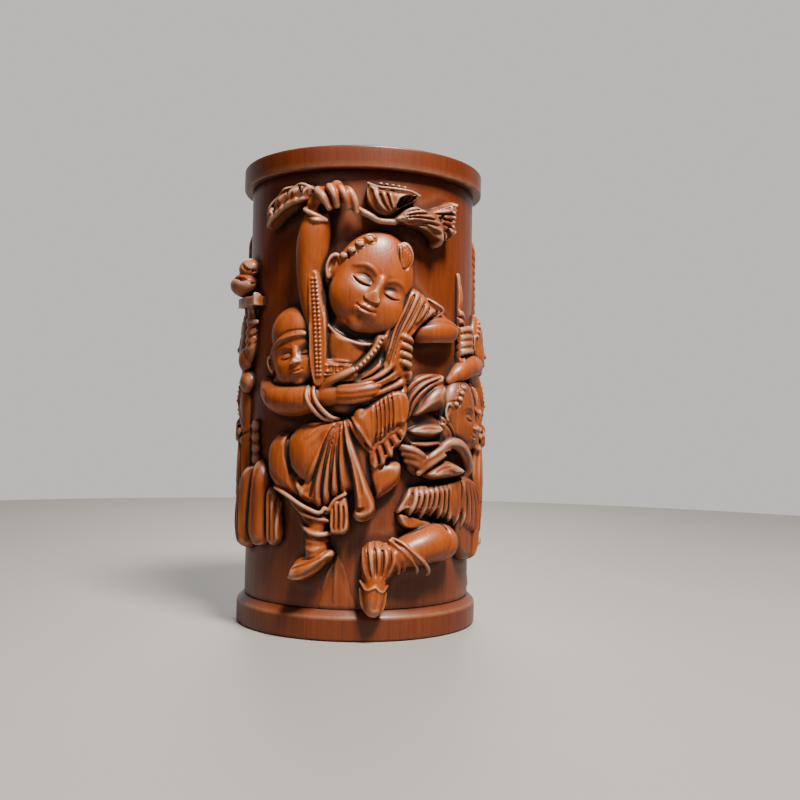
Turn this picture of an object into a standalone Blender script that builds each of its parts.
"""Carved brush pot: a turned tube with rim, foot and base board, and separately carved figures set on its wall.

Run with blender --background --python part.py. Units are metres, +Z is up, and the pot's axis is the Z axis.
The carvings are laid out on an unrolled wall, the board: u runs round the wall as arc length on its outer face,
rightwards as seen from outside, with 0 at the front (-Y); z is the height and w the height above the wall.
"""

import math

import bmesh
import bpy
from mathutils import Matrix, Vector

MM = 0.001

# Driving dimensions
POT_HEIGHT = 160 * MM
WALL_RADIUS = 40 * MM
BORE_RADIUS = 34 * MM
RIM_RADIUS = 43 * MM
FOOT_RADIUS = 42.7 * MM
RIM_HEIGHT = 7.5 * MM
FOOT_HEIGHT = 7.5 * MM
FOOT_SHOULDER = 2.0 * MM
EDGE_ROUND = 1.0 * MM
BOARD_THICKNESS = 5 * MM
BOARD_RECESS = 2 * MM
JOINT_GAP = 0.3 * MM
SEAT_RADIUS = 37.5 * MM

# Making of the carvings
ROUND_SEGMENTS = 64
CLAY_CELL = 1.3 * MM
CARVING_CLEARANCE = 0.45 * MM
WALL_CLEARANCE = 0.35 * MM
BLANK_RADIUS = 48.2 * MM
LUMP_SEGMENTS = 20
TRIANGLES_PER_FIGURE = 420
TRIANGLES_PER_TRIM = 150

WOOD = (0.30, 0.105, 0.035, 1.0)
DARK_WOOD = (0.17, 0.06, 0.025, 1.0)


# ---------------------------------------------------------------- scene, materials and small helpers


def clear_scene():
    """Remove every object that is already in the file."""
    for obj in list(bpy.data.objects):
        bpy.data.objects.remove(obj)


def new_collection(name):
    """Make a collection under the scene's own."""
    collection = bpy.data.collections.new(name)
    bpy.context.scene.collection.children.link(collection)
    return collection


def wood_material(name, colour, roughness):
    """Principled BSDF in one flat wood colour."""
    material = bpy.data.materials.new(name)
    material.use_nodes = True
    shader = material.node_tree.nodes["Principled BSDF"]
    shader.inputs["Base Color"].default_value = colour
    shader.inputs["Roughness"].default_value = roughness
    shader.inputs["Metallic"].default_value = 0.0
    return material


def evaluated_mesh(obj):
    """The object's mesh with its modifiers applied."""
    bpy.context.view_layer.update()
    depsgraph = bpy.context.evaluated_depsgraph_get()
    return bpy.data.meshes.new_from_object(obj.evaluated_get(depsgraph))


def bake_modifiers(obj):
    """Replace the object's mesh by its evaluated one and drop the modifiers."""
    mesh = evaluated_mesh(obj)
    obj.modifiers.clear()
    obj.data = mesh


def keep_largest_body(mesh):
    """Delete the crumbs that a cut leaves, so that one closed body remains."""
    bm = bmesh.new()
    bm.from_mesh(mesh)
    left = set(bm.verts)
    bodies = []
    while left:
        front = [left.pop()]
        body = list(front)
        while front:
            vert = front.pop()
            for edge in vert.link_edges:
                other = edge.other_vert(vert)
                if other in left:
                    left.discard(other)
                    front.append(other)
                    body.append(other)
        bodies.append(body)
    bodies.sort(key=len)
    for body in bodies[:-1]:
        bmesh.ops.delete(bm, geom=body, context="VERTS")
    bm.to_mesh(mesh)
    bm.free()


# ---------------------------------------------------------------- turned pieces


def turned(name, profile, collection, material):
    """Solid of revolution from a closed profile of (radius, height), listed clockwise from its outer top."""
    mesh = bpy.data.meshes.new(name)
    points = [(radius, 0, height) for radius, height in profile]
    edges = [(i, (i + 1) % len(points)) for i in range(len(points))]
    mesh.from_pydata(points, edges, [])
    obj = bpy.data.objects.new(name, mesh)
    collection.objects.link(obj)
    screw = obj.modifiers.new("turn", "SCREW")
    screw.steps = ROUND_SEGMENTS
    screw.render_steps = ROUND_SEGMENTS
    screw.use_merge_vertices = True
    screw.merge_threshold = 0.00001
    bake_modifiers(obj)
    bm = bmesh.new()
    bm.from_mesh(obj.data)
    bmesh.ops.recalc_face_normals(bm, faces=bm.faces)
    bm.to_mesh(obj.data)
    bm.free()
    obj.data.materials.append(material)
    obj.data.shade_smooth()
    obj.data.set_sharp_from_angle(angle=math.radians(40))
    return obj


def rounded_corner(radius, height, start_degrees, steps=3):
    """Points of a quarter-round corner whose centre is (radius, height), turning clockwise."""
    points = []
    for step in range(steps + 1):
        angle = math.radians(start_degrees - 90 * step / steps)
        points.append((radius + EDGE_ROUND * math.cos(angle), height + EDGE_ROUND * math.sin(angle)))
    return points


def pot_wall(collection, material):
    """The tube: full thickness between rim and foot, and turned down at both ends to seat the two rings."""
    top_seat = POT_HEIGHT - RIM_HEIGHT - JOINT_GAP
    foot_seat = FOOT_HEIGHT + FOOT_SHOULDER + JOINT_GAP
    end = POT_HEIGHT - RIM_HEIGHT * 0.4
    board_top = BOARD_RECESS + BOARD_THICKNESS
    profile = [
        (SEAT_RADIUS, end),
        (SEAT_RADIUS, top_seat),
        (WALL_RADIUS, top_seat),
        (WALL_RADIUS, foot_seat),
        (SEAT_RADIUS, foot_seat),
        (SEAT_RADIUS, board_top + JOINT_GAP),
        (BORE_RADIUS, board_top + JOINT_GAP),
        (BORE_RADIUS, end),
    ]
    return turned("pot_wall", profile, collection, material)


def rim_ring(collection, material):
    """The lip: a band that overhangs the wall, rebated underneath to sit over the tube's turned-down end."""
    bottom = POT_HEIGHT - RIM_HEIGHT
    lip = POT_HEIGHT - RIM_HEIGHT * 0.4 + JOINT_GAP
    inner = SEAT_RADIUS + JOINT_GAP
    profile = (
        rounded_corner(RIM_RADIUS - EDGE_ROUND, POT_HEIGHT - EDGE_ROUND, 90)
        + rounded_corner(RIM_RADIUS - EDGE_ROUND, bottom + EDGE_ROUND, 0)
        + [(inner, bottom), (inner, lip), (BORE_RADIUS, lip), (BORE_RADIUS, POT_HEIGHT)]
    )
    return turned("rim_ring", profile, collection, material)


def foot_ring(collection, material):
    """The foot: a band with a sloped shoulder, standing on a flat ring, with a ledge that carries the base board."""
    inner = SEAT_RADIUS + JOINT_GAP
    ledge = SEAT_RADIUS - 3 * MM
    board_seat = BOARD_RECESS - JOINT_GAP
    profile = (
        [(WALL_RADIUS, FOOT_HEIGHT + FOOT_SHOULDER)]
        + rounded_corner(FOOT_RADIUS - EDGE_ROUND, FOOT_HEIGHT - EDGE_ROUND / 2, 60)[:3]
        + [(FOOT_RADIUS, FOOT_HEIGHT - 2 * EDGE_ROUND), (FOOT_RADIUS, EDGE_ROUND)]
        + [(FOOT_RADIUS - EDGE_ROUND, 0), (ledge, 0), (ledge, board_seat), (inner, board_seat)]
        + [(inner, FOOT_HEIGHT + FOOT_SHOULDER)]
    )
    return turned("foot_ring", profile, collection, material)


def base_board(collection, material):
    """The floor of the pot: a round board let into the foot, under the end of the tube."""
    bpy.ops.mesh.primitive_cylinder_add(
        vertices=ROUND_SEGMENTS,
        radius=SEAT_RADIUS,
        depth=BOARD_THICKNESS,
        location=(0, 0, BOARD_RECESS + BOARD_THICKNESS / 2),
    )
    obj = bpy.context.active_object
    obj.name = "base_board"
    for owner in list(obj.users_collection):
        owner.objects.unlink(obj)
    collection.objects.link(obj)
    obj.data.materials.append(material)
    return obj


# ---------------------------------------------------------------- carvings, in millimetres on the board


def ball(u, z, w, half_width, half_height, half_depth, tilt=0):
    """A rounded mass. tilt leans its top to the right, in degrees."""
    return {"kind": "ball", "at": (u, z, w), "half": (half_width, half_height, half_depth), "tilt": tilt}


def limb(*stations):
    """A tapering arm, leg, stem or fold through stations of (u, z, w, radius)."""
    return {"kind": "limb", "stations": stations}


def lotus_boy():
    """The large boy at the front: tilted head, one arm raised to the stem, open vest, long pleated robe."""
    head = [ball(3.5, 116, 2.8, 12.3, 16.2, 6.2, 20)]
    raised_arm = [
        limb((-13.5, 137, 3.4, 2.6), (-15, 131, 3.2, 4.8), (-16, 118, 2.6, 4.4), (-14, 106, 2.2, 4.6)),
        ball(-6.8, 141.5, 4.2, 6.8, 4.0, 3.0, -15),
    ]
    trunk = [
        ball(-2, 92, 1.2, 13.5, 15, 4.8),
        ball(1, 80, 1.2, 15, 10, 4.6),
        limb((9, 103, 1.8, 4.6), (17.5, 108, 2.0, 4.0), (13, 96, 2.6, 3.6)),
        ball(12.5, 92, 3.6, 3.0, 6.4, 3.0),
    ]
    robe = [
        ball(-5, 62, 1.2, 19, 14, 5.2),
        ball(-16, 60, 2.4, 7.5, 10, 4.8),
        ball(-25, 57, 0.8, 5.0, 10, 3.8, -8),
        ball(8, 68, 1.8, 8, 12, 4.2, 14),
        ball(-3, 50, 1.6, 12, 11, 4.8),
        ball(7, 50, 1.0, 7, 8, 3.6),
        limb((-3, 66, 4.2, 2.2), (0, 52, 4.2, 2.6), (2.5, 43, 3.6, 2.8)),
    ]
    near_leg = [
        limb((-9, 43, 2.4, 4.5), (-11, 33, 2.8, 3.2)),
        limb((-18.5, 24.5, 4.2, 2.6), (-13.5, 26.5, 4.2, 3.2), (-9, 29.5, 3.2, 2.8)),
    ]
    return head + raised_arm + trunk + robe + near_leg


def lotus_leaf():
    """Curled leaf at the left end of the stem."""
    return [
        limb((-29.5, 136.5, 1.4, 1.8), (-24, 140.5, 2.2, 2.2), (-17.5, 142.5, 2.6, 1.9)),
        ball(-25, 143, 1.8, 3.6, 2.8, 3.0, 25),
        ball(-20, 145.3, 1.8, 3.6, 2.2, 2.8, 10),
    ]


def lotus_flower():
    """Stem, open flower, seed pod and two ribbed leaves to the right of the hand."""
    return [
        limb((1.5, 137.5, 2.8, 1.4), (6, 134.8, 2.8, 1.4), (12, 135.5, 2.6, 1.4)),
        ball(5.5, 141, 2.4, 4.4, 4.6, 3.8, -20),
        limb((9.5, 141.8, 3.2, 1.8), (15.5, 142.6, 3.0, 1.8)),
        ball(15.5, 134.5, 2.2, 7.5, 3.2, 3.6, 14),
        ball(23.5, 136.3, 1.8, 5.6, 6.6, 3.4, -10),
        limb((19, 131, 2.2, 2.2), (21.5, 127.5, 1.8, 1.4)),
    ]


def hugging_boy():
    """The boy in a round cap behind the left shoulder, his arm round the large boy's waist."""
    return [
        ball(-21, 101, 1.2, 7.2, 6.2, 4.4, 18),
        ball(-21.8, 92, 1.4, 7.2, 9.6, 4.8),
        ball(-27.5, 82, 0.6, 5.0, 8, 3.0),
        limb((-28.5, 79, 1.8, 3.4), (-22, 77, 3.8, 3.8), (-14, 77.2, 5.2, 3.0)),
        limb((-12, 77.5, 5.4, 2.6), (-6, 79.2, 5.6, 2.8), (-0.5, 80.8, 5.0, 1.8)),
        limb((-8, 80, 5.6, 1.8), (-3, 84.5, 5.2, 1.4)),
    ]


def fruit():
    """The smooth fruit held out in the large boy's fist."""
    return [ball(25, 99.5, 2.2, 8.8, 4.2, 4.8, -3)]


def kneeling_boy():
    """The boy at the right, down on one knee, looking out to the right."""
    body = [
        ball(21, 78.5, 1.4, 7.0, 8.2, 4.8),
        ball(34.2, 78, 1.8, 7.6, 10.2, 5.2, -6),
        ball(20.5, 67, 1.8, 5.8, 4.8, 4.2),
        limb((16, 60.5, 2, 3.2), (24, 60.5, 2.8, 3.2), (31, 63.5, 2.4, 3)),
        ball(26.5, 55.5, 2.4, 8.0, 3.6, 3.8),
        ball(33, 60, 1.2, 5.0, 7.0, 3.6),
    ]
    skirt = [ball(26, 45.5, 1.0, 12, 9.5, 4.4), ball(19, 44, 1.2, 6, 6, 3.8)]
    leg = [
        limb((30, 33.5, 2.0, 4.0), (23, 32, 2.8, 4.4), (14, 28.5, 2.8, 3.6), (8, 27, 2.6, 3.4)),
        limb((6, 26.5, 2.8, 3.5), (5, 20, 3.4, 3.0), (5, 13.5, 4.0, 2.8)),
    ]
    return body + skirt + leg


def bud_boy():
    """The boy on the right-hand side, one arm raised with a flower bud."""
    arm = [
        ball(38.8, 113.5, 1.2, 2.8, 6.8, 2.8),
        ball(40, 102, 1.4, 4.4, 6.2, 3.4),
        limb((42, 96, 1.2, 3.6), (49, 88, 1.2, 3.8)),
    ]
    body = [
        ball(57, 98.5, 1.2, 8.4, 10.6, 5.2, -10),
        ball(56, 79, 1.0, 10.5, 12, 4.8),
        ball(54, 60, 1.0, 12, 13, 5.0),
        ball(49, 40, 0.8, 8, 16, 4.8),
        ball(61, 42, 0.8, 7, 13, 4.4),
        limb((66, 78, 1.6, 3.2), (68, 66, 2.4, 2.8), (60, 66, 3.4, 2.6)),
    ]
    return arm + body


def tablet_boy():
    """The boy on the left-hand side, holding a small writing tablet up beside a bunch of fruit."""
    arm = [
        ball(-43.5, 119.5, 1.6, 4.4, 4.4, 4.4),
        limb((-47, 115.5, 1.8, 2.8), (-47, 104, 1.6, 3.2), (-50, 95, 1.2, 3.4)),
        limb((-44.5, 111.5, 3.0, 1.7), (-40, 111.5, 3.0, 1.7)),
    ]
    body = [
        ball(-59, 99.5, 1.2, 8.4, 10.6, 5.2, 10),
        ball(-46, 86, 1.2, 5.4, 8.6, 4.2),
        ball(-57, 80, 1.0, 10.5, 12, 4.8),
        ball(-43, 62, 1.0, 4.2, 8.4, 3.4),
        ball(-54, 60, 1.0, 11, 13, 4.8),
    ]
    robe = [
        limb((-37, 52, 0.8, 3.4), (-37, 43, 1.2, 4.6), (-36, 36, 1.4, 4.4)),
        limb((-31.5, 48, 0.8, 2.6), (-31.5, 34, 1.2, 3.0)),
        ball(-48, 44, 0.6, 9, 13, 4.0),
        ball(-60, 43, 0.6, 8, 13, 4.0),
    ]
    return arm + body + robe


def standing_boy(middle, turn, arm_up):
    """A smaller boy for the far side. turn is 1 or -1 and mirrors him about the line u = middle."""

    def at(u):
        return middle + turn * u

    lift = 14 if arm_up else -8
    return [
        ball(at(1), 106, 2.0, 8.4, 10.6, 5.4, 8 * turn),
        ball(at(0), 86, 1.0, 10.5, 12, 5.0),
        ball(at(-1), 66, 1.0, 12, 15, 5.2),
        ball(at(-2), 47, 0.8, 12.5, 12, 4.8),
        limb((at(-9), 92, 1.6, 3.6), (at(-13.5), 98 + lift / 2, 2.2, 3.2), (at(-11), 98 + lift, 2.8, 2.8)),
        limb((at(9), 91, 1.6, 3.6), (at(12.5), 79, 2.4, 3.2), (at(4), 74, 3.8, 2.8)),
        limb((at(-7), 38, 1.4, 3.8), (at(-7), 26, 1.8, 3.0), (at(-11), 18, 2.6, 2.8)),
        limb((at(6), 38, 1.4, 3.8), (at(7), 26, 1.8, 3.0), (at(11), 18, 2.6, 2.8)),
    ]


def rock(middle, height, spread=1.0):
    """Low ground rock, resting on the foot's shoulder."""
    return [
        ball(middle, 12.5 + height / 3, 0.2, 7 * spread, height * 0.55, 2.6),
        ball(middle + 5 * spread, 12.5 + height / 5, 0.2, 6 * spread, height * 0.35, 2.2),
        ball(middle - 5 * spread, 12.5 + height / 5, 0.2, 6 * spread, height * 0.3, 2.2),
    ]


def plantain(middle, turn):
    """A broad leaf on a stalk that fills the wall between two boys of the far side."""
    return [
        limb((middle, 62, 0.8, 2.0), (middle, 96, 1.2, 2.0), (middle + 3 * turn, 120, 1.6, 1.8)),
        ball(middle + 5 * turn, 134, 1.4, 6.0, 11, 2.8, 24 * turn),
        ball(middle - 4 * turn, 124, 1.0, 4.6, 9.5, 2.4, -24 * turn),
    ]


# Each carving with its neighbours that lie in front of it, and so cut into it
CARVINGS = {
    "hugging_boy": (hugging_boy, [], TRIANGLES_PER_FIGURE),
    "lotus_boy": (lotus_boy, ["hugging_boy"], 1000),
    "lotus_leaf": (lotus_leaf, ["lotus_boy"], TRIANGLES_PER_TRIM),
    "lotus_flower": (lotus_flower, ["lotus_boy"], 300),
    "fruit": (fruit, ["lotus_boy"], TRIANGLES_PER_TRIM),
    "kneeling_boy": (kneeling_boy, ["lotus_boy", "fruit"], 640),
    "bud_boy": (bud_boy, ["kneeling_boy", "fruit"], 600),
    "tablet_boy": (tablet_boy, ["lotus_boy", "hugging_boy"], 640),
    "drum_boy": (lambda: standing_boy(93, 1, True), ["bud_boy"], TRIANGLES_PER_FIGURE),
    "fan_boy": (lambda: standing_boy(-93, -1, True), ["tablet_boy"], TRIANGLES_PER_FIGURE),
    "rear_boy": (lambda: standing_boy(125.7, 1, False), ["drum_boy", "fan_boy"], TRIANGLES_PER_FIGURE),
    "plantain_right": (lambda: plantain(75, 1), ["bud_boy", "drum_boy"], 200),
    "plantain_left": (lambda: plantain(-76, -1), ["tablet_boy", "fan_boy"], 200),
    "front_rock": (lambda: rock(-5, 14, 0.8), ["lotus_boy", "kneeling_boy"], TRIANGLES_PER_TRIM),
    "rear_rock_right": (lambda: rock(78, 14), ["bud_boy", "drum_boy"], TRIANGLES_PER_TRIM),
    "rear_rock_left": (lambda: rock(-79, 14), ["tablet_boy", "fan_boy"], TRIANGLES_PER_TRIM),
}


# ---------------------------------------------------------------- carvings, as solids


def board_point(u, z, w):
    """A board point as a flat vector in metres: x along u, -y away from the wall, z up."""
    return Vector((u * MM, -w * MM, z * MM))


def add_ball(bm, lump):
    """Put a tilted ellipsoid into the mesh."""
    half = Matrix.Diagonal([lump["half"][0] * MM, lump["half"][2] * MM, lump["half"][1] * MM, 1])
    turn = Matrix.Rotation(math.radians(lump["tilt"]), 4, "Y")
    place = Matrix.Translation(board_point(*lump["at"]))
    bmesh.ops.create_uvsphere(
        bm, u_segments=LUMP_SEGMENTS, v_segments=LUMP_SEGMENTS // 2, radius=1, matrix=place @ turn @ half
    )


def add_limb(bm, lump):
    """Put a chain of balls and tapered links into the mesh."""
    stations = lump["stations"]
    for u, z, w, radius in stations:
        bmesh.ops.create_uvsphere(
            bm,
            u_segments=LUMP_SEGMENTS,
            v_segments=LUMP_SEGMENTS // 2,
            radius=radius * MM,
            matrix=Matrix.Translation(board_point(u, z, w)),
        )
    for (u0, z0, w0, r0), (u1, z1, w1, r1) in zip(stations, stations[1:]):
        start, end = board_point(u0, z0, w0), board_point(u1, z1, w1)
        turn = (end - start).to_track_quat("Z", "Y").to_matrix().to_4x4()
        bmesh.ops.create_cone(
            bm,
            cap_ends=True,
            segments=LUMP_SEGMENTS,
            radius1=r0 * MM,
            radius2=r1 * MM,
            depth=(end - start).length,
            matrix=Matrix.Translation((start + end) / 2) @ turn,
        )


def wrap_round_wall(mesh):
    """Bend a flat board mesh round the pot: its x becomes arc length on the wall, its -y the height above it."""
    for vert in mesh.vertices:
        radius = min(WALL_RADIUS - vert.co.y, BLANK_RADIUS)
        angle = vert.co.x / WALL_RADIUS
        vert.co = (radius * math.sin(angle), -radius * math.cos(angle), vert.co.z)
    mesh.update()


def swollen_copy(obj, collection):
    """A cutter that is the carving grown by the clearance."""
    mesh = obj.data.copy()
    grown = [vert.co + vert.normal * CARVING_CLEARANCE for vert in mesh.vertices]
    for vert, place in zip(mesh.vertices, grown):
        vert.co = place
    cutter = bpy.data.objects.new(obj.name + "_clearance", mesh)
    cutter.hide_render = True
    cutter.display_type = "WIRE"
    collection.objects.link(cutter)
    return cutter


def wall_cutter(collection):
    """The cylinder that hollows each carving's back to the wall."""
    bpy.ops.mesh.primitive_cylinder_add(
        vertices=ROUND_SEGMENTS,
        radius=WALL_RADIUS + WALL_CLEARANCE,
        depth=POT_HEIGHT * 1.2,
        location=(0, 0, POT_HEIGHT / 2),
    )
    obj = bpy.context.active_object
    obj.name = "wall_clearance"
    obj.hide_render = True
    obj.display_type = "WIRE"
    for owner in list(obj.users_collection):
        owner.objects.unlink(obj)
    collection.objects.link(obj)
    return obj


def cut_by(obj, cutters):
    """Subtract the cutters, one after another, and keep the main body."""
    for cutter in cutters:
        cut = obj.modifiers.new(cutter.name, "BOOLEAN")
        cut.operation = "DIFFERENCE"
        cut.solver = "EXACT"
        cut.object = cutter
    bake_modifiers(obj)
    keep_largest_body(obj.data)


def carve(name, lumps, triangles, collection):
    """Merge a carving's lumps to one rounded body, thin its mesh out, and bend it round the wall."""
    bm = bmesh.new()
    for lump in lumps:
        if lump["kind"] == "ball":
            add_ball(bm, lump)
        else:
            add_limb(bm, lump)
    mesh = bpy.data.meshes.new(name)
    bm.to_mesh(mesh)
    bm.free()
    obj = bpy.data.objects.new(name, mesh)
    collection.objects.link(obj)
    merge = obj.modifiers.new("merge", "REMESH")
    merge.mode = "VOXEL"
    merge.voxel_size = CLAY_CELL
    merge.adaptivity = 0
    bake_modifiers(obj)
    thin = obj.modifiers.new("thin", "DECIMATE")
    thin.ratio = min(1.0, triangles / (2 * len(obj.data.polygons)))
    thin.use_collapse_triangulate = True
    bake_modifiers(obj)
    wrap_round_wall(obj.data)
    return obj


def build():
    """Build the turned pieces, then each carving in front-to-back order."""
    clear_scene()
    pot = new_collection("carved_brush_pot")
    cutters = new_collection("cutters")
    wood = wood_material("red_brown_wood", WOOD, 0.35)
    dark = wood_material("dark_wood", DARK_WOOD, 0.45)
    pot_wall(pot, wood)
    rim_ring(pot, wood)
    foot_ring(pot, wood)
    base_board(pot, dark)

    hollow = wall_cutter(cutters)
    clearances = {}
    for name, (lumps, in_front, triangles) in CARVINGS.items():
        carving = carve(name, lumps(), triangles, pot)
        cut_by(carving, [hollow] + [clearances[other] for other in in_front])
        carving.data.materials.clear()
        carving.data.materials.append(wood)
        clearances[name] = swollen_copy(carving, cutters)


build()
